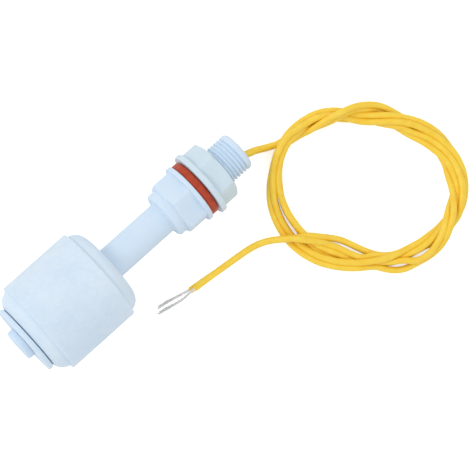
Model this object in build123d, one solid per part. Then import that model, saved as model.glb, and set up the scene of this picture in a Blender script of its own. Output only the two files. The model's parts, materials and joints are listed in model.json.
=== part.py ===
"""Float level switch: a float with a ring magnet slides on a stem that holds a reed switch.

Sizes are in millimetres. The switch is drawn along its own axis, X, with 0 at the flange's sealing
face and the threaded spigot on the plus side. It is then laid down as it rests on a flat surface, on
the float and the nut.
"""

import math
import os

from build123d import *

# Stem moulding
stem_radius = 4.0
stem_below_flange = 54.55
stem_end_round = 0.6
collar_radius = 6.0
collar_length = 2.3
collar_round = 0.8
collar_root_round = 0.4
body_hex_flats = 13.5
body_hex_length = 5.4
body_hex_bevel = 0.7
hex_edge_round = 0.3
hex_bevel_inset = 0.1
flange_radius = 7.85
flange_thickness = 1.2
flange_round = 0.3
thread_radius = 5.0
thread_length = 15.1
thread_chamfer = 0.9
stem_bore_radius = 2.3
stem_floor = 4.0
spigot_bore_radius = 3.0
spigot_bore_depth = 23.0

# Retaining clip
clip_radius = 9.0
clip_thickness = 1.3
clip_round = 0.4
clip_to_stem_end = 1.85
groove_depth = 0.8
clip_mouth_share = 0.86

# Gasket and nut
gasket_radius = 7.4
gasket_thickness = 2.15
gasket_round = 0.6
nut_gap = 0.15
nut_flange_radius = 8.55
nut_flange_thickness = 1.4
nut_hex_flats = 13.8
nut_hex_length = 4.8
nut_bevel = 0.6
nut_hole_chamfer = 0.35
nut_turned = 12.0

# Float
float_length = 25.2
band_radius = 12.3
band_raised = 0.85
band_edge_round = 0.3
lower_shoulder_length = 3.05
upper_shoulder_length = 3.1
shoulder_round = 3.5
float_wall = 1.3
float_tube_wall = 1.1
float_rib_thickness = 1.2
float_rib_count = 6
float_rib_root = 0.5
cap_spigot_length = 2.0
magnet_length = 8.0
magnet_wall = 2.55

# Reed switch, wires and potting
reed_radius = 1.1
reed_length = 14.0
reed_centre = -24.0
reed_wall = 0.3
reed_end_round = 0.75
reed_seal_length = 1.5
reed_wire_radius = 0.25
reed_wire_reach = 3.5
blade_thickness = 0.25
blade_width = 1.1
blade_overlap = 1.2
blade_gap = 0.12
reed_height = -0.75
return_wire_height = 1.2
sleeve_wall = 0.2
solder_radius = 0.6
solder_length = 2.2
solder_start = -7.6
potting_recess = 4.0
potting_length = 15.0

# Leads
lead_radius = 0.8
lead_spacing = 1.9
lead_straight = 1.8
conductor_radius = 0.3
strip_depth = 0.8

# Coil of leads: its middle line is an ellipse whose long way runs along coil_long. The lists go
# clockwise, an hour apart, from nine o'clock: how far the middle line bulges, and how far the
# winding reaches inward from it.
coil_centre = (52.1, -26.8)
coil_half_long = 21.5
coil_half_short = 17.65
coil_long = (0.7403, -0.6723)
coil_bulge = [1.03, 1.10, 1.05, 0.99, 0.95, 0.99, 1.01, 1.03, 1.08, 1.03, 1.06, 1.04]
coil_outward = 2.9
coil_inward = [2.9, 2.9, 2.9, 2.9, 2.9, 2.9, 2.9, 2.9, 2.9, 4.0, 5.2, 3.2]
coil_height = 4.4
coil_round = 1.3

# Clearances
float_clearance = 0.3
float_end_gap = 0.15
running_clearance = 0.05
slip = 0.05

# Places along the axis
stem_end = -stem_below_flange
collar_start = -(flange_thickness + body_hex_length + collar_length)
hex_start = -(flange_thickness + body_hex_length)
clip_start = stem_end + clip_to_stem_end
clip_end = clip_start + clip_thickness
float_start = clip_end + float_end_gap
float_end = float_start + float_length
band_start = float_start + lower_shoulder_length
band_end = float_end - upper_shoulder_length
shoulder_radius = band_radius - band_raised
cavity_radius = shoulder_radius - float_wall
float_travel = collar_start - float_end_gap - float_end
nut_start = gasket_thickness + nut_gap
nut_flange_end = nut_start + nut_flange_thickness
nut_end = nut_flange_end + nut_hex_length
groove_radius = stem_radius - groove_depth
float_bore = stem_radius + float_clearance
potting_end = thread_length - potting_recess
potting_start = potting_end - potting_length
reed_start = reed_centre - reed_length / 2
reed_end = reed_centre + reed_length / 2
solder_end = solder_start + solder_length
joint_place = solder_start + solder_length / 2
lower_joint = reed_start - reed_wire_reach


def rod(radius, start, end):
    """A round bar along the axis from start to end."""
    return Pos(start, 0, 0) * Rot(0, 90, 0) * Cylinder(
        radius, end - start, align=(Align.CENTER, Align.CENTER, Align.MIN)
    )


def ring(outer, inner, start, end):
    """A tube along the axis from start to end."""
    return rod(outer, start, end) - rod(inner, start, end)


def rims(solid, place, radius):
    """The round edges of that radius at that place on the axis."""
    circles = solid.edges().filter_by(GeomType.CIRCLE)
    return [e for e in circles if abs(e.arc_center.X - place) < 0.01 and abs(e.radius - radius) < 0.01]


def rounded_rims(solid, start, end, radius, size):
    """The solid with its round edges of that radius rounded at both places."""
    return fillet(rims(solid, start, radius) + rims(solid, end, radius), size)


def hexagon(flats, start, end, turned):
    """A hexagonal bar with rounded long edges; turned 0 has a flat on top, 30 a corner."""
    across = Plane(origin=(start, 0, 0), x_dir=(0, 1, 0), z_dir=(1, 0, 0))
    bar = extrude(across * RegularPolygon(flats / 2, 6, major_radius=False, rotation=turned), end - start)
    return fillet(bar.edges().filter_by(Axis.X), hex_edge_round)


def bevelled(bar, flats, bevel, start, end, at):
    """Cuts the hexagon's corners with a cone at one end."""
    corner = flats / math.sqrt(3)
    blank = rod(corner, start, end)
    return bar & chamfer(rims(blank, at, corner), bevel, corner - flats / 2 + hex_bevel_inset)


def make_stem_body():
    """Stem, collar, hexagon, flange and spigot in one, with the clip's groove and the stepped bore."""
    stem = rod(stem_radius, stem_end, collar_start)
    stem = fillet(rims(stem, stem_end, stem_radius), stem_end_round)
    stem -= ring(stem_radius + 1, groove_radius, clip_start - slip, clip_end + slip)
    collar = rod(collar_radius, collar_start, hex_start)
    collar = fillet(rims(collar, collar_start, collar_radius), collar_round)
    wrench = hexagon(body_hex_flats, hex_start, -flange_thickness, 30)
    wrench = bevelled(wrench, body_hex_flats, body_hex_bevel, hex_start, -flange_thickness, hex_start)
    flange = rod(flange_radius, -flange_thickness, 0)
    flange = rounded_rims(flange, -flange_thickness, 0, flange_radius, flange_round)
    spigot = rod(thread_radius, 0, thread_length)
    spigot = chamfer(rims(spigot, thread_length, thread_radius), thread_chamfer)
    body = stem + collar + wrench + flange + spigot
    body = fillet(rims(body, collar_start, stem_radius), collar_root_round)
    body -= rod(stem_bore_radius, stem_end + stem_floor, thread_length)
    return body - rod(spigot_bore_radius, thread_length - spigot_bore_depth, thread_length)


def make_clip():
    """Flat snap ring: a disc with a round seat for the groove and a narrower mouth on its underside."""
    disc = rod(clip_radius, clip_start, clip_end)
    disc = rounded_rims(disc, clip_start, clip_end, clip_radius, clip_round)
    seat = groove_radius + slip
    mouth = Box(
        clip_thickness,
        2 * seat * clip_mouth_share,
        clip_radius,
        align=(Align.MIN, Align.CENTER, Align.MAX),
    )
    return disc - rod(seat, clip_start, clip_end) - Pos(clip_start, 0, 0) * mouth


def make_gasket():
    """Flat silicone ring between the two flanges, held on the spigot."""
    seal = ring(gasket_radius, thread_radius + running_clearance, 0, gasket_thickness)
    return rounded_rims(seal, 0, gasket_thickness, gasket_radius, gasket_round)


def make_nut():
    """Hexagonal nut moulded with its own flange."""
    flange = rod(nut_flange_radius, nut_start, nut_flange_end)
    flange = rounded_rims(flange, nut_start, nut_flange_end, nut_flange_radius, flange_round)
    wrench = hexagon(nut_hex_flats, nut_flange_end, nut_end, nut_turned)
    wrench = bevelled(wrench, nut_hex_flats, nut_bevel, nut_flange_end, nut_end, nut_end)
    hole = thread_radius + running_clearance
    nut = flange + wrench - rod(hole, nut_start, nut_end)
    return chamfer(rims(nut, nut_start, hole) + rims(nut, nut_end, hole), nut_hole_chamfer)


def make_float():
    """Hollow float: a cup with an inner tube and ribs, a ring magnet on the ribs, and its cap."""
    tube_radius = float_bore + float_tube_wall
    magnet_start = (float_start + float_end - magnet_length) / 2
    magnet_end = magnet_start + magnet_length
    floor = float_start + float_wall

    core = rod(shoulder_radius, float_start, float_end)
    core = rounded_rims(core, float_start, float_end, shoulder_radius, shoulder_round)
    band = rod(band_radius, band_start, band_end)
    band = rounded_rims(band, band_start, band_end, band_radius, band_edge_round)
    cavity = ring(cavity_radius, tube_radius, floor, band_end)
    cavity = fillet(rims(cavity, floor, cavity_radius), shoulder_round - float_wall)
    shell = core & rod(shoulder_radius, float_start, band_end)
    shell = shell + band - rod(float_bore, float_start, band_end) - cavity
    rib = Box(
        magnet_start - floor + float_rib_root,
        cavity_radius - tube_radius + float_rib_root,
        float_rib_thickness,
        align=(Align.MIN, Align.MIN, Align.CENTER),
    )
    for place in range(float_rib_count):
        turn = Rot(360 / float_rib_count * place, 0, 0)
        shell += turn * Pos(floor - float_rib_root, tube_radius - float_rib_root, 0) * rib

    magnet_bore = tube_radius + slip
    magnet = ring(magnet_bore + magnet_wall, magnet_bore, magnet_start, magnet_end)

    upper = core & ring(shoulder_radius, float_bore, band_end, float_end)
    spigot_radius = cavity_radius - slip
    spigot = ring(spigot_radius, spigot_radius - float_wall, band_end - cap_spigot_length, band_end)
    hub = ring(magnet_bore + float_tube_wall, magnet_bore, magnet_end, band_end)
    return shell, magnet, upper + spigot + hub


def make_reed():
    """Glass capsule with two overlapping spring blades, each drawn from its own wire."""
    capsule = rod(reed_radius, reed_start, reed_end)
    capsule = rounded_rims(capsule, reed_start, reed_end, reed_radius, reed_end_round)
    capsule -= rod(reed_radius - reed_wall, reed_start + reed_seal_length, reed_end - reed_seal_length)
    capsule -= rod(reed_wire_radius, reed_start, reed_end)

    blade_reach = reed_length / 2 - reed_seal_length + blade_overlap / 2
    blade = Box(blade_reach, blade_width, blade_thickness, align=(Align.MIN, Align.CENTER, Align.MIN))
    lower = rod(reed_wire_radius, lower_joint, reed_start + reed_seal_length)
    lower += Pos(reed_start + reed_seal_length, 0, -blade_gap / 2 - blade_thickness) * blade
    upper = rod(reed_wire_radius, reed_end - reed_seal_length, joint_place)
    upper += Pos(reed_end - reed_seal_length - blade_reach, 0, blade_gap / 2) * blade

    sleeve = ring(reed_radius + slip + sleeve_wall, reed_radius + slip, reed_start, reed_end)
    drop = Pos(0, 0, reed_height)
    return [drop * piece for piece in (capsule, lower, upper, sleeve)]


def make_return_wire():
    """Wire from the lower blade, bent back beside the capsule to the first lead, with its sleeve."""
    bend_radius = (return_wire_height - reed_height) / 2
    bend_start = lower_joint - solder_length / 2
    far_end = (lower_joint, 0, reed_height)
    turn_in = (bend_start, 0, reed_height)
    turn_mid = (bend_start - bend_radius, 0, (return_wire_height + reed_height) / 2)
    turn_out = (bend_start, 0, return_wire_height)
    near_end = (joint_place, 0, return_wire_height)
    path = Line(far_end, turn_in) + ThreePointArc(turn_in, turn_mid, turn_out) + Line(turn_out, near_end)
    section = Plane(origin=far_end, z_dir=(-1, 0, 0)) * Circle(reed_wire_radius)
    wire = sweep(section, path=path)
    bore = reed_wire_radius + slip
    sleeve = ring(bore + sleeve_wall, bore, bend_start + solder_length, solder_start - solder_length)
    return wire, Pos(0, 0, return_wire_height) * sleeve


def solder(place, height, wires):
    """A bead of solder round the ends of wires that meet."""
    bead = Pos(0, 0, height) * rod(solder_radius, place - solder_length / 2, place + solder_length / 2)
    for wire in wires:
        bead -= wire
    return bead


def lead_tube(name, points, radius):
    """A round lead of straight runs joined by arcs as large as the runs allow."""
    points = [Vector(*p) for p in points]
    radii = []
    for before, here, after in zip(points, points[1:], points[2:]):
        half_turn = math.radians((here - before).get_angle(after - here)) / 2
        shorter = min((here - before).length, (after - here).length)
        radii.append(0.45 * shorter / math.tan(half_turn))
    path = FilletPolyline(*points, radius=radii)
    tube = sweep(Plane(origin=path @ 0, z_dir=path % 0) * Circle(radius), path=path)
    share = tube.volume / (math.pi * radius**2 * path.length)
    print(name, "length", round(path.length, 1), "volume share", round(share, 4))
    print("    bend radii", [round(r, 1) for r in radii])
    return tube


# The stem moulding tilts until the float's band and the nut's flange touch the surface together.
float_touch = (band_end - band_edge_round, band_radius - band_edge_round)
nut_touch = (nut_flange_end - flange_round, nut_flange_radius - flange_round)
apart = nut_touch[0] - float_touch[0]
fall = float_touch[1] - nut_touch[1]
tilt = math.degrees(
    math.atan2(fall, apart) + math.asin((band_edge_round - flange_round) / math.hypot(apart, fall))
)

stem_body = make_stem_body()
retaining_clip = make_clip()
gasket = make_gasket()
hex_nut = make_nut()
float_shell, float_magnet, float_cap = make_float()
reed_glass, reed_blade_lower, reed_blade_upper, reed_sleeve = make_reed()
return_wire, return_sleeve = make_return_wire()

lead_a_inner = Pos(0, 0, lead_spacing / 2) * rod(lead_radius, solder_end, potting_end)
lead_b_inner = Pos(0, 0, -lead_spacing / 2) * rod(lead_radius, solder_end, potting_end)
solder_lower = solder(lower_joint, reed_height, [reed_blade_lower, return_wire])
solder_return = solder(joint_place, return_wire_height, [return_wire])
solder_blade = solder(joint_place, reed_height, [reed_blade_upper])
potting_plug = rod(spigot_bore_radius - slip, potting_start, potting_end)
for height in (lead_spacing / 2, -lead_spacing / 2):
    potting_plug -= Pos(0, 0, height) * rod(lead_radius + slip, potting_start, potting_end)

switch = {
    "stem_body": stem_body,
    "retaining_clip": retaining_clip,
    "gasket": gasket,
    "hex_nut": hex_nut,
    "float_shell": float_shell,
    "float_cap": float_cap,
    "float_magnet": float_magnet,
    "reed_glass": reed_glass,
    "reed_blade_lower": reed_blade_lower,
    "reed_blade_upper": reed_blade_upper,
    "reed_sleeve": reed_sleeve,
    "return_wire": return_wire,
    "return_sleeve": return_sleeve,
    "solder_lower": solder_lower,
    "solder_return": solder_return,
    "solder_blade": solder_blade,
    "potting_plug": potting_plug,
    "lead_a_inner": lead_a_inner,
    "lead_b_inner": lead_b_inner,
}

# Laid down, with the middle of the switch over the origin.
laid = Compound(children=[Rot(0, tilt, 0) * piece for piece in switch.values()]).bounding_box()
rest = Pos(-laid.center().X, 0, -laid.min.Z) * Rot(0, tilt, 0)
pieces = {name: rest * piece for name, piece in switch.items()}


def on_axis(place, side=0.0, height=0.0):
    """Where a point of the switch's own frame lies once the switch is laid down."""
    return tuple((rest * Pos(place, side, height)).position)


# The leads lie on the surface. Their points are the pair's route, with lead a over lead b where they
# leave the bore.
exit_a = [
    on_axis(potting_end, 0, lead_spacing / 2),
    on_axis(potting_end + lead_straight, 0, lead_spacing / 2),
    (35.0, -1.0, 7.7),
    (37.8, -2.2, 6.2),
    (40.7, -3.5, 3.7),
    (43.3, -4.6, 1.9),
]
exit_b = [
    on_axis(potting_end, 0, -lead_spacing / 2),
    on_axis(potting_end + lead_straight, 0, -lead_spacing / 2),
    (34.5, -1.2, 5.9),
    (36.9, -2.7, 4.6),
    (39.7, -4.4, 2.8),
    (42.7, -6.1, 1.5),
]
tail_a = [
    (30.3, -24.3, 4.2),
    (28.3, -22.7, 3.8),
    (25.5, -20.5, 2.9),
    (21.9, -19.1, 2.5),
    (17.5, -18.5, 2.45),
    (12.9, -18.0, 2.45),
    (8.5, -17.5, 2.45),
    (4.8, -17.2, 2.45),
]
tail_b = [
    (30.3, -24.3, 2.5),
    (28.3, -22.7, 2.1),
    (25.5, -20.5, 1.2),
    (21.9, -19.1, 0.85),
    (17.5, -18.5, 0.8),
    (12.9, -18.0, 0.8),
    (8.0, -17.3, 0.8),
    (3.7, -16.8, 0.8),
]
bare_a = [
    (tail_a[-1][0] + strip_depth, *tail_a[-1][1:]),
    (3.1, -17.2, 2.2),
    (1.1, -17.2, 1.3),
    (-1.5, -16.7, 0.7),
    (-3.8, -16.1, 0.4),
    (-6.0, -15.6, conductor_radius),
]
bare_b = [
    (tail_b[-1][0] + strip_depth, *tail_b[-1][1:]),
    (2.1, -16.2, 0.7),
    (-0.4, -15.5, 0.4),
    (-2.7, -14.9, conductor_radius),
    (-4.9, -14.7, conductor_radius),
]


def coil_point(station, offset):
    """A point beside the coil's middle line; stations are an hour apart, clockwise from nine o'clock."""
    angle = math.pi - math.radians(30 * station)
    bulge = coil_bulge[station]
    along = coil_half_long * bulge * math.cos(angle)
    across = coil_half_short * bulge * math.sin(angle)
    lean = Vector(math.cos(angle) / coil_half_long, math.sin(angle) / coil_half_short).normalized() * offset
    along += lean.X
    across += lean.Y
    x, y = coil_long
    return (coil_centre[0] + along * x - across * y, coil_centre[1] + along * y + across * x)


def make_coil():
    """The outer shape of the wound leads: a low ring with rounded edges."""
    outer = make_face(Spline(*[coil_point(n, coil_outward) for n in range(12)], periodic=True))
    inner = make_face(Spline(*[coil_point(n, -coil_inward[n]) for n in range(12)], periodic=True))
    wound = extrude(outer - inner, coil_height)
    return fillet(wound.edges().filter_by(Plane.XY), coil_round)


pieces["lead_a_exit"] = lead_tube("lead_a_exit", exit_a, lead_radius)
pieces["lead_b_exit"] = lead_tube("lead_b_exit", exit_b, lead_radius)
pieces["lead_coil"] = make_coil()
pieces["lead_a_tail"] = lead_tube("lead_a_tail", tail_a, lead_radius)
pieces["lead_b_tail"] = lead_tube("lead_b_tail", tail_b, lead_radius)
pieces["conductor_a"] = lead_tube("conductor_a", bare_a, conductor_radius)
pieces["conductor_b"] = lead_tube("conductor_b", bare_b, conductor_radius)

os.makedirs("parts", exist_ok=True)
for name, piece in pieces.items():
    export_step(piece, f"parts/{name}.step")

print("tilt", round(tilt, 4), "float travel", round(float_travel, 3))
print("axis at the sealing face", [round(v, 4) for v in on_axis(0)])
print("axis at the thread's end", [round(v, 4) for v in on_axis(thread_length)])
print("axis at the nut's end", [round(v, 4) for v in on_axis(nut_end)])
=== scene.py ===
"""Float level switch lying on a pale floor, seen from almost straight above.

The switch's own axis runs from the float towards the threaded spigot, with 0 at the flange's sealing face.
Lengths are in millimetres until MM turns them into metres.
"""

import json
import math
import random

import bpy
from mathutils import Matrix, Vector


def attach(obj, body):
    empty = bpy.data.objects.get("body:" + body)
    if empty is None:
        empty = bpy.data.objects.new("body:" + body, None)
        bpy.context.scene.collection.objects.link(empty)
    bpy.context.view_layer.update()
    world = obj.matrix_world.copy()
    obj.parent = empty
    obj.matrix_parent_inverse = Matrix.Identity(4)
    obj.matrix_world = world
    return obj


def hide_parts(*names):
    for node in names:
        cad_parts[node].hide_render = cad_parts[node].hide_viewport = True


MM = 0.001

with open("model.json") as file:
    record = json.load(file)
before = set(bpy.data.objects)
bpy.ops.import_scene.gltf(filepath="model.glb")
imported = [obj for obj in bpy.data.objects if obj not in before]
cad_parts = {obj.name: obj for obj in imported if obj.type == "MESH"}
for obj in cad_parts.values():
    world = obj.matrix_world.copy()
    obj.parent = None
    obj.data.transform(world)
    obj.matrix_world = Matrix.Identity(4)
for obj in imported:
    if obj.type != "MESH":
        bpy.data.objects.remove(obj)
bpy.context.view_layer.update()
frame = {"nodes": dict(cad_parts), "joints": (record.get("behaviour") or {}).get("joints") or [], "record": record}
joints = {joint["name"]: joint for joint in frame["joints"]}

# The switch's own axis, from the nut's hinge, which is 5 mm past the sealing face.
PIVOT_PLACE = 5.0
axis = Vector(joints["nut_turn"]["axis"]).normalized()
pivot = Vector(joints["nut_turn"]["pos_m"])
side_way = Vector((0, 1, 0))
up_way = axis.cross(side_way).normalized()


def at(place, side=0.0, height=0.0):
    """A point of the switch's own frame, in the scene."""
    return pivot + ((place - PIVOT_PLACE) * axis + side * side_way + height * up_way) * MM


# Camera
CAMERA_TURN = -42.28
CAMERA_RISE = 87.1
CAMERA_FAR = 520.0
CAMERA_LENS = 169.2
LOOK_AT = (20.32, -14.48, 8.8)


def make_camera():
    turn, rise = math.radians(CAMERA_TURN), math.radians(CAMERA_RISE)
    back = Vector((math.sin(turn) * math.cos(rise), -math.cos(turn) * math.cos(rise), math.sin(rise)))
    data = bpy.data.cameras.new("camera")
    data.lens = CAMERA_LENS
    data.sensor_width = 36
    data.clip_start = 0.01
    camera = bpy.data.objects.new("camera", data)
    camera.location = (Vector(LOOK_AT) + back * CAMERA_FAR) * MM
    camera.rotation_euler = back.to_track_quat("Z", "Y").to_euler()
    bpy.context.scene.collection.objects.link(camera)
    bpy.context.scene.camera = camera


# Leads: their route from the bore, then the coil's turns, then the tail, and the route of the bare ends
LEAD_DIAMETER = 1.6
LEAD_STEPS = 6
TUBE_RESOLUTION = 7

EXIT_A = [
    (30.70, 0.0, 8.57),
    (32.48, -0.2, 8.36),
    (34.3, -1.65, 7.85),
    (36.0, -2.2, 6.5),
    (37.65, -2.6, 4.9),
    (39.2, -3.4, 3.5),
    (40.9, -4.15, 2.6),
    (42.6, -4.95, 2.3),
    (43.9, -5.7, 1.7),
]
EXIT_B = [
    (30.48, 0.0, 6.68),
    (32.27, -0.2, 6.48),
    (34.1, -1.6, 6.0),
    (35.8, -2.2, 4.8),
    (37.5, -2.6, 3.2),
    (39.0, -3.3, 1.8),
    (40.8, -4.1, 0.95),
    (42.6, -4.85, 0.8),
]
TAIL_A = [
    (30.3, -24.3, 4.5),
    (28.3, -22.7, 3.9),
    (25.5, -20.5, 2.9),
    (21.9, -19.1, 2.5),
    (17.5, -18.5, 2.45),
    (12.9, -18.0, 2.45),
    (8.5, -17.5, 2.45),
    (4.8, -17.2, 2.45),
]
TAIL_B = [
    (30.3, -24.3, 2.9),
    (28.3, -22.7, 2.3),
    (25.5, -20.5, 1.2),
    (21.9, -19.1, 0.85),
    (17.5, -18.5, 0.8),
    (12.9, -18.0, 0.8),
    (8.0, -17.3, 0.8),
    (3.7, -16.8, 0.8),
]
BARE_A = [
    (5.6, -17.2, 2.45),
    (3.1, -17.2, 2.2),
    (1.1, -17.2, 1.3),
    (-1.5, -16.7, 0.7),
    (-3.8, -16.1, 0.4),
    (-6.0, -15.6, 0.3),
]
BARE_B = [
    (4.5, -16.8, 0.8),
    (2.1, -16.2, 0.7),
    (-0.4, -15.5, 0.4),
    (-2.7, -14.9, 0.3),
    (-4.9, -14.7, 0.3),
]

# The coil's middle line is an ellipse. COIL_BULGE is how far it bulges at each hour, clockwise from nine o'clock.
COIL_TURNS = 3
COIL_CENTRE = (52.1, -26.8)
COIL_LONG = (0.7403, -0.6723)
COIL_HALF_LONG = 21.5
COIL_HALF_SHORT = 17.65
COIL_BULGE = [1.03, 1.10, 1.05, 0.99, 0.95, 0.99, 1.01, 1.03, 1.08, 1.03, 1.06, 1.04]

# One section through the winding per row: degrees clockwise from nine o'clock, then how far out and how high each
# strand lies there, in lead diameters: leads a and b in the first turn, in the second turn and in the third.
WINDING = [
    (10, None, None, (-0.55, 0.95), (0.42, 0.15), (-0.6, 0.0), (0.32, 1.2)),
    (22, None, None, (-0.5, 1.85), (0.28, 1.4), (-0.5, 0.75), (0.22, 2.4)),
    (34, (-0.45, 0.5), (0.3, 0.0), (-0.4, 2.4), (0.42, 1.9), (-0.35, 1.45), (0.25, 2.9)),
    (42, (-0.7, 0.5), (0.1, 0.0), (-0.4, 1.75), (0.7, 1.5), (0.05, 0.95), (0.12, 2.4)),
    (50, (-1.0, 1.05), (-0.75, 0.05), (-0.02, 0.7), (0.87, 1.0), (0.75, 0.0), (0.15, 1.75)),
    (58, (-0.85, 1.75), (-1.0, 0.8), (0.0, 0.55), (0.95, 1.0), (0.85, 0.0), (0.25, 1.6)),
    (66, (-0.5, 2.6), (-0.95, 1.75), (-0.25, 0.5), (0.75, 1.0), (0.6, 0.0), (-0.05, 1.45)),
    (74, (0.0, 3.1), (-0.35, 2.2), (-0.95, 0.1), (0.28, 1.0), (0.1, 0.0), (-0.65, 1.0)),
    (82, (0.7, 2.3), (0.3, 1.45), (-1.0, 0.0), (-0.5, 0.9), (-0.05, 0.0), (-1.4, 0.75)),
    (90, (1.1, 1.6), (0.5, 0.85), (-1.05, 0.0), (-0.5, 0.95), (-0.05, 0.0), (-1.5, 0.85)),
    (98, (1.2, 0.9), (0.58, 0.1), (-1.35, 0.1), (-0.3, 1.35), (-0.38, 0.2), (-1.3, 1.3)),
    (106, (0.8, 0.35), (0.0, 0.0), (-1.35, 0.85), (0.1, 1.5), (-0.9, 0.05), (-0.85, 1.65)),
    (114, (0.45, 0.0), (-0.45, 0.0), (-1.0, 1.15), (0.45, 1.2), (-1.3, 0.25), (-0.35, 1.75)),
    (122, (0.35, 0.2), (-0.5, 0.0), (-0.95, 0.95), (0.85, 1.1), (-1.45, 0.1), (0.05, 1.65)),
    (130, (0.2, 0.3), (-0.65, 0.0), (-0.75, 1.0), (0.95, 0.9), (-1.5, 0.45), (0.15, 1.45)),
    (138, (0.1, 0.25), (-0.85, 0.0), (-0.55, 1.1), (1.0, 0.6), (-1.45, 0.85), (0.35, 1.3)),
    (146, (-0.05, 0.15), (-1.0, 0.0), (-0.4, 1.25), (0.85, 0.35), (-1.38, 1.05), (0.5, 1.35)),
    (154, (-0.25, 0.0), (-1.15, 0.05), (-0.2, 1.35), (0.72, 0.1), (-1.1, 1.3), (0.68, 1.2)),
    (162, (-0.2, 0.05), (-1.2, 0.1), (0.0, 1.3), (0.8, 0.0), (-0.88, 1.35), (0.83, 1.05)),
    (170, (-0.25, 0.1), (-1.43, 0.5), (0.18, 1.45), (0.75, 0.0), (-0.62, 1.05), (0.92, 0.95)),
    (178, (-0.45, 0.1), (-1.3, 0.9), (0.38, 1.75), (0.5, 0.0), (-0.38, 1.2), (0.93, 0.9)),
    (186, (-0.7, 0.1), (-1.0, 1.35), (0.5, 1.6), (0.35, 0.0), (-0.2, 1.0), (0.92, 0.7)),
    (194, (-0.95, 0.45), (-0.65, 1.75), (0.6, 1.45), (0.15, 0.0), (-0.18, 0.98), (0.9, 0.55)),
    (202, (-1.0, 1.2), (-0.15, 2.05), (0.78, 1.0), (-0.3, 0.0), (-0.1, 1.05), (0.7, 0.0)),
    (210, (-0.62, 1.9), (0.3, 2.1), (0.5, 1.15), (-0.65, 0.0), (-0.3, 0.9), (0.45, 0.05)),
    (218, (0.0, 1.9), (0.85, 1.6), (0.5, 0.75), (-0.9, 0.05), (-0.5, 1.0), (0.0, 0.0)),
    (226, (0.5, 1.55), (1.2, 1.0), (0.15, 0.5), (-1.2, 0.65), (-0.5, 1.1), (-0.6, 0.0)),
    (234, (1.0, 1.5), (1.25, 0.6), (-0.42, 0.3), (-1.3, 0.95), (-0.45, 1.3), (-1.3, 0.0)),
    (242, (1.0, 1.3), (1.22, 0.35), (-0.45, 0.2), (-1.32, 1.05), (-0.42, 1.2), (-1.35, 0.0)),
    (250, (0.2, 1.5), (1.65, 0.1), (0.1, 0.0), (-0.95, 1.65), (-0.4, 0.82), (-0.95, 0.0)),
    (258, (0.2, 0.85), (1.4, 0.1), (0.3, 0.0), (-0.4, 1.85), (-0.7, 0.95), (-0.8, 0.0)),
    (266, (-0.08, 0.85), (0.65, 0.65), (0.15, 0.0), (-0.05, 1.85), (-0.95, 0.9), (-1.1, 0.0)),
    (274, (0.05, 0.2), (0.97, 0.9), (0.9, 0.0), (0.25, 1.5), (-0.45, 0.95), (-1.75, 0.0)),
    (282, (-0.3, 0.25), (1.18, 0.7), (0.75, 0.0), (0.35, 1.2), (-1.0, 0.8), (-2.42, 0.0)),
    (290, (-0.68, 0.55), (1.3, 0.55), (0.2, 0.0), (0.5, 0.95), (-1.55, 0.5), (-2.87, 0.0)),
    (298, (-0.78, 0.6), (1.42, 0.3), (-0.1, 0.0), (0.55, 0.75), (-1.68, 0.75), (-2.68, 0.35)),
    (306, (-0.8, 0.8), (1.48, 0.1), (-0.2, 0.0), (0.6, 0.45), (-1.15, 1.6), (-2.0, 1.2)),
    (314, (-0.9, 0.9), (1.52, 0.0), (-0.5, 0.0), (0.62, 0.2), (-0.1, 2.3), (-1.0, 1.75)),
    (322, (-0.9, 1.0), (1.5, 0.0), (-0.85, 0.0), (0.58, 0.1), None, None),
    (334, (-0.88, 1.0), (1.32, 0.0), (-0.82, 0.0), (0.48, 0.25), None, None),
    (346, (-0.75, 1.0), (1.15, 0.0), (-0.72, 0.0), (0.4, 0.5), None, None),
    (358, (-0.5, 1.0), (0.9, 0.0), (-0.65, 0.0), (0.35, 0.85), None, None),
]


def coil_point(clock, outward, level):
    """A point of the coil, in millimetres. Outward and level are in lead diameters."""
    hour = int(clock // 30)
    part = clock / 30 - hour
    bulge = COIL_BULGE[hour % 12] * (1 - part) + COIL_BULGE[(hour + 1) % 12] * part
    angle = math.pi - math.radians(clock)
    lean = Vector((math.cos(angle) / COIL_HALF_LONG, math.sin(angle) / COIL_HALF_SHORT)).normalized()
    along = COIL_HALF_LONG * bulge * math.cos(angle) + lean.x * outward * LEAD_DIAMETER
    across = COIL_HALF_SHORT * bulge * math.sin(angle) + lean.y * outward * LEAD_DIAMETER
    x, y = COIL_LONG
    height = (0.5 + level) * LEAD_DIAMETER
    return (COIL_CENTRE[0] + along * x - across * y, COIL_CENTRE[1] + along * y + across * x, height)


def coil_turns(lead):
    """The coil's points, turn by turn, for lead a (0) or lead b (1)."""
    points = []
    for turn in range(COIL_TURNS):
        for clock, *strands in WINDING:
            if strands[2 * turn + lead]:
                points.append(coil_point(clock, *strands[2 * turn + lead]))
    return points


def smooth_curve(name, points, radius, steps):
    """A round curve object on one open NURBS spline. Its points hold the radius, as its bound box needs."""
    data = bpy.data.curves.new(name, "CURVE")
    data.dimensions = "3D"
    data.bevel_depth = 1 if radius else 0
    data.bevel_resolution = TUBE_RESOLUTION
    data.use_fill_caps = True
    data.resolution_u = steps
    spline = data.splines.new("NURBS")
    spline.points.add(len(points) - 1)
    for point, place in zip(spline.points, points):
        point.co = (*(Vector(place) * MM), 1)
        point.radius = radius * MM
    spline.order_u = 3
    spline.use_endpoint_u = True
    spline.use_smooth = True
    curve = bpy.data.objects.new(name, data)
    bpy.context.scene.collection.objects.link(curve)
    return curve


def spline_line(points, steps):
    """Points read from the smooth spline through a route."""
    guide = smooth_curve("guide", points, 0, steps)
    mesh = bpy.data.meshes.new_from_object(guide)
    line = [v.co.copy() for v in mesh.vertices]
    bpy.data.objects.remove(guide)
    bpy.data.meshes.remove(mesh)
    return line


def line_length(line):
    return sum((b - a).length for a, b in zip(line, line[1:]))


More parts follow.
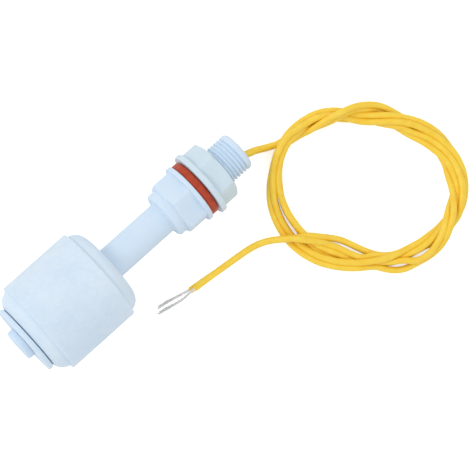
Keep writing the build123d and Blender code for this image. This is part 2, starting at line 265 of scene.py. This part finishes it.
def cross_ways(line):
    """Two directions across each point of a line, which don't turn about it."""
    ways = []
    up = Vector((0, 0, 1))
    for i in range(len(line)):
        along = (line[min(i + 1, len(line) - 1)] - line[max(i - 1, 0)]).normalized()
        side = along.cross(up).normalized()
        up = side.cross(along).normalized()
        ways.append((side, up))
    return ways


def mesh_object(name, vertices, faces, sharp):
    """A smooth shaded mesh with its sharp edges kept."""
    mesh = bpy.data.meshes.new(name)
    mesh.from_pydata(vertices, [], faces)
    mesh.shade_smooth()
    mesh.set_sharp_from_angle(angle=math.radians(sharp))
    made = bpy.data.objects.new(name, mesh)
    bpy.context.scene.collection.objects.link(made)
    return made


def tube_faces(start, rings, around, loop=False):
    """Faces between rings of vertices that follow each other, counted from the start vertex. The last ring joins the
    first in a loop, or a flat face closes each."""
    faces = []
    for i in range(rings if loop else rings - 1):
        for k in range(around):
            n = (k + 1) % around
            low, high = start + i * around, start + (i + 1) % rings * around
            faces.append((low + k, low + n, high + n, high + k))
    if not loop:
        faces.append([start + k for k in range(around)][::-1])
        faces.append([start + (rings - 1) * around + k for k in range(around)])
    return faces


# Strands of the bare ends: six round a middle one
OUTER_STRANDS = 6
STRAND_RADIUS = 0.1
STRAND_APART = 2.02  # from the middle strand, in strand radii
STRAND_TWIST = 6.0  # length of one turn
STRAND_SPREAD = 0.25  # how far a strand may part from the others at its end
STRAND_END = 0.55  # the cut end's share of the radius
STRAND_CUTS = 4  # a strand ends at one of the line's last so many points
STRAND_SIDES = 10
STRAND_STEPS = 12
STRAND_SHARP = 60


def twisted_strands(name, points, seed):
    """Fine strands twisted together along a route, which part a little towards their end."""
    rng = random.Random(seed)
    line = spline_line(points, STRAND_STEPS)
    ways = cross_ways(line)
    far = line_length(line)
    vertices, faces = [], []
    for strand in range(OUTER_STRANDS + 1):
        lean = rng.uniform(0.0, STRAND_SPREAD)
        used = len(line) - rng.randrange(STRAND_CUTS)
        faces += tube_faces(len(vertices), used, STRAND_SIDES)
        walked = 0.0
        for i in range(used):
            walked += (line[i] - line[i - 1]).length if i else 0.0
            turn = 2 * math.pi * (walked / MM / STRAND_TWIST + strand / OUTER_STRANDS)
            reach = STRAND_RADIUS * STRAND_APART + lean * (walked / far) ** 3 if strand < OUTER_STRANDS else 0.0
            side, up = ways[i]
            centre = line[i] + (side * math.cos(turn) + up * math.sin(turn)) * reach * MM
            radius = STRAND_RADIUS * (STRAND_END if i == used - 1 else 1) * MM
            for k in range(STRAND_SIDES):
                a = 2 * math.pi * k / STRAND_SIDES
                # This way round, the faces look outward.
                vertices.append(centre + (side * math.cos(a) - up * math.sin(a)) * radius)
    return mesh_object(name, vertices, faces, STRAND_SHARP)


def make_leads():
    """The leads as smooth curves, with their bare ends."""
    leads = []
    parts = (EXIT_A, TAIL_A, BARE_A), (EXIT_B, TAIL_B, BARE_B)
    for index, (start, tail, bare) in enumerate(parts):
        letter = "ab"[index]
        route = start + coil_turns(index) + tail
        lead = smooth_curve(f"lead_{letter}", route, LEAD_DIAMETER / 2, LEAD_STEPS)
        strands = twisted_strands(f"bare_end_{letter}", bare, index)
        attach(lead, "switch_body")
        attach(strands, "switch_body")
        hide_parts(f"lead_{letter}_exit", f"lead_{letter}_tail", "lead_coil")
        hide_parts(f"conductor_{letter}")
        line_length(spline_line(route, LEAD_STEPS))
        leads.append((lead, strands))
    return leads


# Pieces turned round the switch's axis
AROUND = 144
SHARP = 35


def turned_piece(name, rings, loop=False):
    """A closed surface from rings round the switch's axis. A ring is its place and its radius, a number or a function
    of the angle in radians and the place. The last ring joins the first in a loop, or a flat face closes each."""
    vertices = []
    for place, radius in rings:
        for k in range(AROUND):
            angle = 2 * math.pi * k / AROUND
            r = radius(angle, place) if callable(radius) else radius
            vertices.append(at(place, r * math.cos(angle), r * math.sin(angle)))
    return mesh_object(name, vertices, tube_faces(0, len(rings), AROUND, loop), SHARP)


def corner(place, radius, size, start, stop, steps=5):
    """Rings round a rounded edge: an arc about (place, radius) from the start angle to the stop angle in degrees,
    where 0 points along the axis and 90 away from it."""
    rings = []
    for i in range(steps + 1):
        angle = math.radians(start + (stop - start) * i / steps)
        rings.append((place + size * math.cos(angle), radius + size * math.sin(angle)))
    return rings


def rounded_rim(start, end, radius, size):
    """Rings over a disc's rim, rounded at both places."""
    near = corner(start + size, radius - size, size, 180, 90)
    return near + corner(end - size, radius - size, size, 90, 0)


HEX_EDGE_ROUND = 0.3
HEX_BEVEL_INSET = 0.1


def hexagon(flats, turned, bevel, edge):
    """The radius of a hexagon by angle and place. Its long edges are rounded, and a cone cuts its corners towards
    the edge at that place. Turned 0 has a flat on top, 30 a corner."""
    half = flats / 2
    hub = (half - HEX_EDGE_ROUND) / math.cos(math.pi / 6)
    tangent = math.atan2((half - HEX_EDGE_ROUND) * math.tan(math.pi / 6), half)
    sharp_corner = flats / math.sqrt(3)
    slope = (sharp_corner - half + HEX_BEVEL_INSET) / bevel

    def radius(angle, place):
        lean = (angle - math.radians(turned)) % (math.pi / 3) - math.pi / 6
        off = math.pi / 6 - abs(lean)
        if abs(lean) <= tangent:
            flank = half / math.cos(lean)
        else:
            flank = hub * math.cos(off) + math.sqrt(HEX_EDGE_ROUND**2 - (hub * math.sin(off)) ** 2)
        return min(flank, sharp_corner - HEX_BEVEL_INSET - max(0, bevel - abs(place - edge)) * slope)

    return radius


# Thread
THREAD_CREST = 5.0
THREAD_DEPTH = 0.55
THREAD_PITCH = 0.935
THREAD_PHASE = 0.53
CREST_HALF = 0.12
ROOT_HALF = 0.06
THREAD_FIRST = 0.6
THREAD_LAST = 14.0
FIRST_FADE = 1.2
LAST_FADE = 0.5
THREAD_END = 15.1
THREAD_CHAMFER = 0.5
THREAD_STEPS = 32


def limited(value):
    return min(max(value, 0), 1)


def thread_turn(angle, place):
    """How far a point lies past the thread's crest, as a share of the pitch."""
    return (place / THREAD_PITCH - angle / (2 * math.pi) + THREAD_PHASE) % 1


def thread_radius(angle, place):
    """A right-handed thread with narrow crests and straight flanks, which fades out at both ends."""
    from_crest = 0.5 - abs(thread_turn(angle, place) - 0.5)
    share = limited((from_crest - CREST_HALF) / (0.5 - CREST_HALF - ROOT_HALF))
    fade = limited((place - THREAD_FIRST) / FIRST_FADE) * limited((THREAD_LAST - place) / LAST_FADE)
    return min(THREAD_CREST - THREAD_DEPTH * share * fade, THREAD_CREST - THREAD_CHAMFER + THREAD_END - place)


# Stem moulding
STEM_RADIUS = 4.0
STEM_END = -54.55
STEM_END_ROUND = 0.6
STEM_FIRST_RING = -50
STEM_LAST_RING = -10
GROOVE_RADIUS = 3.2
GROOVE_START = -52.75
GROOVE_END = -51.35
GROOVE_ROUND = 0.1
COLLAR_START = -8.9
COLLAR_RADIUS = 6.0
COLLAR_ROUND = 0.8
COLLAR_ROOT_ROUND = 0.4
HEX_START = -6.6
HEX_FLATS = 13.5
HEX_TURNED = 30
HEX_BEVEL = 0.7
HEX_ROOT_ROUND = 0.15
FLANGE_START = -1.2
FLANGE_RADIUS = 7.85
FLANGE_ROUND = 0.3
SPIGOT_BORE = 3.0
SPIGOT_BORE_START = -7.9
SPIGOT_BORE_ROUND = 0.15
STEM_BORE = 2.3
STEM_BORE_START = -50.55
CENTRE = 0.02  # radius of the small flat face that closes an end


def make_stem():
    """Outside of the moulding from its free end to the spigot's end, then back down the bore."""
    wrench = hexagon(HEX_FLATS, HEX_TURNED, HEX_BEVEL, HEX_START)
    rings = [(STEM_END, CENTRE)]
    rings += corner(STEM_END + STEM_END_ROUND, STEM_RADIUS - STEM_END_ROUND, STEM_END_ROUND, 180, 90)
    rings += corner(GROOVE_START - GROOVE_ROUND, STEM_RADIUS - GROOVE_ROUND, GROOVE_ROUND, 90, 0, 2)
    rings += [(GROOVE_START, GROOVE_RADIUS), (GROOVE_END, GROOVE_RADIUS)]
    rings += corner(GROOVE_END + GROOVE_ROUND, STEM_RADIUS - GROOVE_ROUND, GROOVE_ROUND, 180, 90, 2)
    rings += [(place, STEM_RADIUS) for place in range(STEM_FIRST_RING, STEM_LAST_RING + 1)]
    rings += corner(COLLAR_START - COLLAR_ROOT_ROUND, STEM_RADIUS + COLLAR_ROOT_ROUND, COLLAR_ROOT_ROUND, -90, 0)
    rings += corner(COLLAR_START + COLLAR_ROUND, COLLAR_RADIUS - COLLAR_ROUND, COLLAR_ROUND, 180, 90, 7)
    rings += corner(HEX_START - HEX_ROOT_ROUND, COLLAR_RADIUS + HEX_ROOT_ROUND, HEX_ROOT_ROUND, -90, 0, 2)
    rings += [(HEX_START + HEX_BEVEL * i / 3, wrench) for i in range(4)]
    rings += [(HEX_START + (FLANGE_START - HEX_START) * i / 8, wrench) for i in range(4, 9)]
    rings += rounded_rim(FLANGE_START, 0, FLANGE_RADIUS, FLANGE_ROUND)
    steps = int(THREAD_END / THREAD_PITCH * THREAD_STEPS)
    rings += [(THREAD_END * i / steps, thread_radius) for i in range(steps + 1)]
    rings += corner(THREAD_END - SPIGOT_BORE_ROUND, SPIGOT_BORE + SPIGOT_BORE_ROUND, SPIGOT_BORE_ROUND, 0, -90, 3)
    rings += [(SPIGOT_BORE_START, SPIGOT_BORE), (SPIGOT_BORE_START, STEM_BORE), (STEM_BORE_START, STEM_BORE)]
    rings.append((STEM_BORE_START, CENTRE))
    stem = turned_piece("stem_moulding", rings)
    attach(stem, "switch_body")
    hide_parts("stem_body")
    return stem


# Nut
NUT_START = 2.3
NUT_FLANGE_END = 3.7
NUT_END = 8.5
NUT_FLANGE_RADIUS = 8.55
NUT_FLATS = 13.8
NUT_TURNED = 12
NUT_BEVEL = 0.6
NUT_HOLE = 5.05
NUT_HOLE_CHAMFER = 0.2
NUT_RIDGE = 0.04
NUT_RIDGE_SLOPE = 2.6
NUT_HOLE_STEPS = 14


def nut_hole(angle, place):
    """The nut's hole: low ridges that clear the spigot's crests, opened out at both faces."""
    ridge = max(0, 1 - abs(thread_turn(angle, place) - 0.5) * NUT_RIDGE_SLOPE)
    fade = limited(min(place - NUT_START, NUT_END - place) / NUT_HOLE_CHAMFER)
    return NUT_HOLE + NUT_HOLE_CHAMFER * (1 - fade) - NUT_RIDGE * ridge * fade


def make_nut():
    """A hexagon moulded with its own flange, from the flange's face out and back through the hole."""
    wrench = hexagon(NUT_FLATS, NUT_TURNED, NUT_BEVEL, NUT_END)
    bevel_start = NUT_END - NUT_BEVEL
    rings = [(NUT_START, nut_hole)]
    rings += rounded_rim(NUT_START, NUT_FLANGE_END, NUT_FLANGE_RADIUS, FLANGE_ROUND)
    rings += [(NUT_FLANGE_END + (bevel_start - NUT_FLANGE_END) * i / 5, wrench) for i in range(6)]
    rings += [(bevel_start + NUT_BEVEL * i / 4, wrench) for i in range(1, 5)]
    steps = int((NUT_END - NUT_START) / THREAD_PITCH * NUT_HOLE_STEPS)
    rings += [(NUT_END + (NUT_START - NUT_END) * i / steps, nut_hole) for i in range(steps)]
    nut = turned_piece("nut", rings, loop=True)
    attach(nut, "nut")
    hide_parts("hex_nut")
    return nut


# Materials. Most noise lies between these two.
NOISE_LOW = 0.3
NOISE_HIGH = 0.7

# The float's frost: noise for its relief and its colour, as grain size in millimetres, detail and roughness
FROST_RELIEF = (0.45, 5, 0.75)
FROST_MOTTLE = (0.9, 5, 0.8)
FROST_HEIGHT = 0.1
FROST_STRENGTH = 0.8


class Finish:
    """A procedural material: a principled shader with noise for its colour, roughness and bump."""

    def __init__(self, name, **sockets):
        self.material = bpy.data.materials.new(name)
        self.material.use_nodes = True
        self.tree = self.material.node_tree
        self.shader = self.tree.nodes["Principled BSDF"]
        for socket, value in sockets.items():
            self.shader.inputs[socket.replace("_", " ")].default_value = value
        self.place = self.tree.nodes.new("ShaderNodeTexCoord").outputs["Object"]
        self.bumped = None

    def link(self, source, target):
        self.tree.links.new(source, target)

    def squeezed(self, amount):
        """Texture places squeezed along the switch's axis, so that noise runs in streaks."""
        node = self.tree.nodes.new("ShaderNodeMapping")
        node.inputs["Rotation"].default_value = axis.rotation_difference(Vector((0, 0, 1))).to_euler()
        node.inputs["Scale"].default_value = (1, 1, amount)
        self.link(self.place, node.inputs["Vector"])
        return node.outputs["Vector"]

    def noise(self, size, detail, roughness=0.55):
        """Noise with grains of about that size in millimetres."""
        node = self.tree.nodes.new("ShaderNodeTexNoise")
        node.inputs["Scale"].default_value = 1 / (size * MM)
        node.inputs["Detail"].default_value = detail
        node.inputs["Roughness"].default_value = roughness
        self.link(self.place, node.inputs["Vector"])
        return node.outputs["Fac"]

    def math(self, operation, *values):
        """A sum of numbers and sockets."""
        node = self.tree.nodes.new("ShaderNodeMath")
        node.operation = operation
        for socket, value in zip(node.inputs, values):
            if isinstance(value, (int, float)):
                socket.default_value = value
            else:
                self.link(value, socket)
        return node.outputs["Value"]

    def ranged(self, source, low, high, start, stop):
        """Goes from start to stop while the source goes from low to high."""
        node = self.tree.nodes.new("ShaderNodeMapRange")
        node.inputs["From Min"].default_value = low
        node.inputs["From Max"].default_value = high
        node.inputs["To Min"].default_value = start
        node.inputs["To Max"].default_value = stop
        self.link(source, node.inputs["Value"])
        return node.outputs["Result"]

    def beyond(self, inner, outer):
        """Rises from 0 to 1 between two distances from the switch's axis, in millimetres."""
        away, turned, length = (self.tree.nodes.new("ShaderNodeVectorMath") for _ in range(3))
        away.operation, turned.operation, length.operation = "SUBTRACT", "CROSS_PRODUCT", "LENGTH"
        away.inputs[1].default_value = pivot
        turned.inputs[1].default_value = axis
        self.link(self.place, away.inputs[0])
        self.link(away.outputs["Vector"], turned.inputs[0])
        self.link(turned.outputs["Vector"], length.inputs[0])
        return self.ranged(length.outputs["Value"], inner * MM, outer * MM, 0, 1)

    def frost(self, tone, inner, outer):
        """Erodes the surface finely beyond those distances from the axis, and mottles the tone there."""
        out = self.beyond(inner, outer)
        relief = self.math("SUBTRACT", self.noise(*FROST_RELIEF), 0.5)
        self.bump(self.math("MULTIPLY", relief, out), FROST_HEIGHT, FROST_STRENGTH)
        mottle = self.math("SUBTRACT", self.noise(*FROST_MOTTLE), 0.5)
        return self.math("MULTIPLY_ADD", mottle, out, tone)

    def colour(self, source, dark, pale, pale_from):
        """Goes from the dark colour to the pale one while the source goes from NOISE_LOW to pale_from."""
        node = self.tree.nodes.new("ShaderNodeValToRGB")
        stops = (NOISE_LOW, dark), (pale_from, pale)
        for element, (position, colour) in zip(node.color_ramp.elements, stops):
            element.position = position
            element.color = (*colour, 1)
        self.link(source, node.inputs["Fac"])
        self.link(node.outputs["Color"], self.shader.inputs["Base Color"])

    def roughness(self, source, low, high):
        self.link(self.ranged(source, NOISE_LOW, NOISE_HIGH, low, high), self.shader.inputs["Roughness"])

    def bump(self, source, height, strength):
        """Adds a bump of that height in millimetres."""
        node = self.tree.nodes.new("ShaderNodeBump")
        node.inputs["Strength"].default_value = strength
        node.inputs["Distance"].default_value = height * MM
        self.link(source, node.inputs["Height"])
        if self.bumped is not None:
            self.link(self.bumped, node.inputs["Normal"])
        self.bumped = node.outputs["Normal"]
        self.link(self.bumped, self.shader.inputs["Normal"])


# Moulded polypropylene: slightly cloudy and translucent, with a fine moulded grain.
PLASTIC = {
    "mottle": (7, 3),
    "patches": (2.5, 4),
    "sockets": {
        "Subsurface_Weight": 0.25,
        "Subsurface_Radius": (0.9, 1.0, 1.1),
        "Subsurface_Scale": 0.8 * MM,
        "Specular_IOR_Level": 0.4,
    },
}
METAL = {"Metallic": 1.0}

# How each material looks. Noise is a grain size in millimetres and a detail: mottle for the colour, which goes from
# dark to pale, and patches for the roughness, within rough. A bump is noise, a height in millimetres and a strength.
# Streaks squeeze the noise along the switch's axis, and frost begins between two distances from it.
LOOKS = {
    "body_plastic": {
        **PLASTIC,
        "dark": (0.66, 0.79, 0.93),
        "pale": (0.70, 0.82, 0.95),
        "rough": (0.34, 0.46),
        "bumps": [(9, 1, 0.08, 0.25), (0.35, 4, 0.006, 0.6)],
    },
    "float_plastic": {
        **PLASTIC,
        "dark": (0.67, 0.79, 0.92),
        "pale": (0.74, 0.845, 0.95),
        "rough": (0.42, 0.6),
        "bumps": [(9, 1, 0.08, 0.25), (0.3, 4, 0.01, 0.6)],
        "frost": (11.7, 12.1),
    },
    "nut_plastic": {
        **PLASTIC,
        "dark": (0.645, 0.77, 0.845),
        "pale": (0.685, 0.80, 0.875),
        "rough": (0.34, 0.46),
        "bumps": [(9, 1, 0.08, 0.25), (0.35, 4, 0.006, 0.6)],
    },
    "gasket_silicone": {
        "dark": (0.41, 0.042, 0.013),
        "pale": (0.53, 0.066, 0.022),
        "mottle": (1.6, 4),
        "rough": (0.34, 0.5),
        "patches": (0.6, 3),
        "bumps": [(0.25, 3, 0.02, 0.5)],
        "sockets": {"Specular_IOR_Level": 0.3},
    },
    "lead_insulation": {
        "dark": (0.97, 0.62, 0.04),
        "pale": (1.0, 0.70, 0.07),
        "mottle": (2.2, 3),
        "rough": (0.3, 0.44),
        "patches": (1.1, 4),
        "bumps": [(1.8, 2, 0.03, 0.3), (0.3, 4, 0.012, 0.5)],
        "sockets": {
            "Specular_IOR_Level": 0.45,
            "Subsurface_Weight": 0.12,
            "Subsurface_Radius": (1.0, 0.55, 0.1),
            "Subsurface_Scale": 0.35 * MM,
        },
    },
    "tinned_copper": {
        "dark": (0.74, 0.72, 0.70),
        "pale": (0.93, 0.92, 0.91),
        "pale_from": 0.6,
        "mottle": (0.5, 3),
        "rough": (0.25, 0.5),
        "patches": (0.2, 3),
        "bumps": [(0.12, 2, 0.01, 0.4)],
        "sockets": METAL,
    },
    "solder": {
        "dark": (0.5, 0.5, 0.52),
        "pale": (0.7, 0.7, 0.71),
        "mottle": (0.8, 2),
        "rough": (0.15, 0.45),
        "patches": (0.5, 4),
        "bumps": [(0.6, 3, 0.04, 0.5)],
        "sockets": METAL,
    },
    "blade_metal": {
        "dark": (0.42, 0.41, 0.38),
        "pale": (0.56, 0.55, 0.52),
        "streaks": 0.1,
        "mottle": (0.4, 2),
        "rough": (0.2, 0.45),
        "patches": (0.3, 4),
        "bumps": [(0.15, 3, 0.004, 0.4)],
        "sockets": METAL,
    },
    "capsule_glass": {
        "dark": (0.72, 0.88, 0.78),
        "pale": (0.85, 0.95, 0.9),
        "mottle": (5, 2),
        "rough": (0.02, 0.08),
        "patches": (1.5, 2),
        "bumps": [(2, 1, 0.02, 0.2)],
        "sockets": {"Transmission_Weight": 0.9, "IOR": 1.5},
    },
    "shrink_sleeve": {
        "dark": (0.014, 0.014, 0.015),
        "pale": (0.03, 0.03, 0.032),
        "mottle": (1.5, 3),
        "rough": (0.35, 0.6),
        "patches": (0.8, 4),
        "bumps": [(0.5, 3, 0.02, 0.5)],
    },
    "magnet_ferrite": {
        "dark": (0.02, 0.02, 0.023),
        "pale": (0.05, 0.05, 0.055),
        "mottle": (0.4, 6),
        "rough": (0.4, 0.7),
        "patches": (0.3, 4),
        "bumps": [(0.2, 5, 0.02, 0.6)],
    },
    "potting_resin": {
        "dark": (0.62, 0.57, 0.45),
        "pale": (0.76, 0.73, 0.64),
        "mottle": (3, 3),
        "rough": (0.12, 0.3),
        "patches": (1.2, 3),
        "bumps": [(2.5, 1, 0.06, 0.3)],
        "sockets": {"Coat_Weight": 0.3},
    },
}


def make_material(name, look):
    """The material of that name, from its row of LOOKS."""
    finish = Finish(name, **look.get("sockets", {}))
    tone = finish.noise(*look["mottle"])
    if "streaks" in look:
        finish.place = finish.squeezed(look["streaks"])
    finish.roughness(finish.noise(*look["patches"]), *look["rough"])
    for size, detail, height, strength in look["bumps"]:
        finish.bump(finish.noise(size, detail), height, strength)
    if "frost" in look:
        tone = finish.frost(tone, *look["frost"])
    finish.colour(tone, look["dark"], look["pale"], look.get("pale_from", NOISE_HIGH))
    return finish.material


def dress(material, piece):
    """Gives the whole piece one material."""
    if not piece.material_slots:
        piece.data.materials.append(material)
    for slot in piece.material_slots:
        slot.link = "OBJECT"
        slot.material = material


# Floor, light and background
FLOOR_HALF = 1.5
FLOOR_GLOW = 0.57
WORLD_STRENGTH = 0.8
LAMPS = [
    ("key", (-0.35, 0.5, 0.7), 0.4, 1.8),
    ("fill", (0.55, -0.2, 0.6), 0.5, 0.3),
    ("rim", (-0.1, -0.65, 0.45), 0.4, 0.2),
]


def ray_share(tree, *kinds):
    """Is 1 for rays of these kinds and 0 for the others."""
    rays = tree.nodes.new("ShaderNodeLightPath")
    share = rays.outputs[kinds[0]]
    for kind in kinds[1:]:
        either = tree.nodes.new("ShaderNodeMath")
        either.operation = "MAXIMUM"
        tree.links.new(share, either.inputs[0])
        tree.links.new(rays.outputs[kind], either.inputs[1])
        share = either.outputs[0]
    return share


def make_floor():
    """A wide pale floor. The camera sees it white where nothing shades it."""
    mesh = bpy.data.meshes.new("floor")
    half = FLOOR_HALF
    mesh.from_pydata([(-half, -half, 0), (half, -half, 0), (half, half, 0), (-half, half, 0)], [], [(0, 1, 2, 3)])
    floor = bpy.data.objects.new("floor", mesh)
    bpy.context.scene.collection.objects.link(floor)
    material = bpy.data.materials.new("floor")
    material.use_nodes = True
    tree = material.node_tree
    shader = tree.nodes["Principled BSDF"]
    shader.inputs["Base Color"].default_value = (0.9, 0.9, 0.9, 1)
    shader.inputs["Roughness"].default_value = 0.9
    shader.inputs["Specular IOR Level"].default_value = 0.1
    shader.inputs["Emission Color"].default_value = (1, 1, 1, 1)
    glow = tree.nodes.new("ShaderNodeMath")
    glow.operation = "MULTIPLY"
    glow.inputs[1].default_value = FLOOR_GLOW
    tree.links.new(ray_share(tree, "Is Camera Ray", "Is Transmission Ray"), glow.inputs[0])
    tree.links.new(glow.outputs[0], shader.inputs["Emission Strength"])
    mesh.materials.append(material)


def make_light():
    """Three soft lamps and a pale sky, which looks white behind the switch."""
    world = bpy.data.worlds.new("studio")
    bpy.context.scene.world = world
    world.use_nodes = True
    tree = world.node_tree
    light = tree.nodes["Background"]
    light.inputs["Color"].default_value = (0.97, 0.985, 1.0, 1)
    light.inputs["Strength"].default_value = WORLD_STRENGTH
    white = tree.nodes.new("ShaderNodeBackground")
    white.inputs["Strength"].default_value = 1
    mix = tree.nodes.new("ShaderNodeMixShader")
    seen = ray_share(tree, "Is Camera Ray", "Is Glossy Ray", "Is Transmission Ray")
    tree.links.new(seen, mix.inputs["Fac"])
    tree.links.new(light.outputs[0], mix.inputs[1])
    tree.links.new(white.outputs[0], mix.inputs[2])
    tree.links.new(mix.outputs[0], tree.nodes["World Output"].inputs["Surface"])
    for name, place, size, power in LAMPS:
        data = bpy.data.lights.new(name, "AREA")
        data.shape = "DISK"
        data.size = size
        data.energy = power
        lamp = bpy.data.objects.new(name, data)
        lamp.location = place
        lamp.rotation_euler = Vector(place).to_track_quat("Z", "Y").to_euler()
        bpy.context.scene.collection.objects.link(lamp)


make_camera()
leads = make_leads()
stem = make_stem()
nut = make_nut()
materials = {name: make_material(name, look) for name, look in LOOKS.items()}
for lead, strands in leads:
    dress(materials["lead_insulation"], lead)
    dress(materials["tinned_copper"], strands)
dress(materials["body_plastic"], stem)
dress(materials["nut_plastic"], nut)
for row in frame["record"]["subparts"]:
    dress(materials[row["material_slot"]], frame["nodes"][row["node"]])
make_floor()
make_light()
bpy.context.scene.view_settings.view_transform = "Standard"

bpy.context.view_layer.update()
